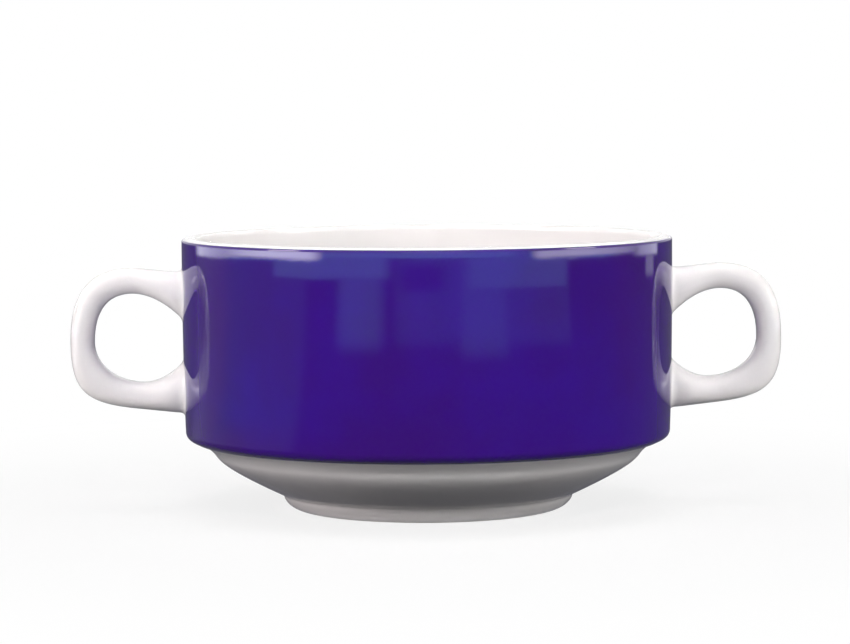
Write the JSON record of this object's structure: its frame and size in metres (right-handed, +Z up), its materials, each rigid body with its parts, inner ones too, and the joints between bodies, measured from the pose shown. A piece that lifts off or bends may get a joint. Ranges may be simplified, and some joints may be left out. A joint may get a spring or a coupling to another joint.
{
  "type": "soup cup",
  "caption": "Stackable porcelain soup cup with a coloured glaze band, a loop handle on each side, a stepped collar under the shoulder and a rounded foot ring.",
  "frame": {"origin": "centre of the foot ring on the surface that the cup stands on", "axes": "+Z up along the cup's axis, +X through the right handle, +Y away from the viewer of the picture"},
  "size_m": [0.1528, 0.105, 0.0585],
  "materials": {
    "white_glaze": "glossy clear glaze over white porcelain, wiped bare under the foot",
    "cobalt_glaze": "high gloss violet-cobalt glaze"
  },
  "bodies": {
    "root": {"bowl": "white_glaze", "foot_ring": "white_glaze", "colour_band": "cobalt_glaze", "handle_left": "white_glaze", "handle_right": "white_glaze", "slip_joint_left_upper": "white_glaze", "slip_joint_left_lower": "white_glaze", "slip_joint_right_upper": "white_glaze", "slip_joint_right_lower": "white_glaze"}
  },
  "joints": []
}
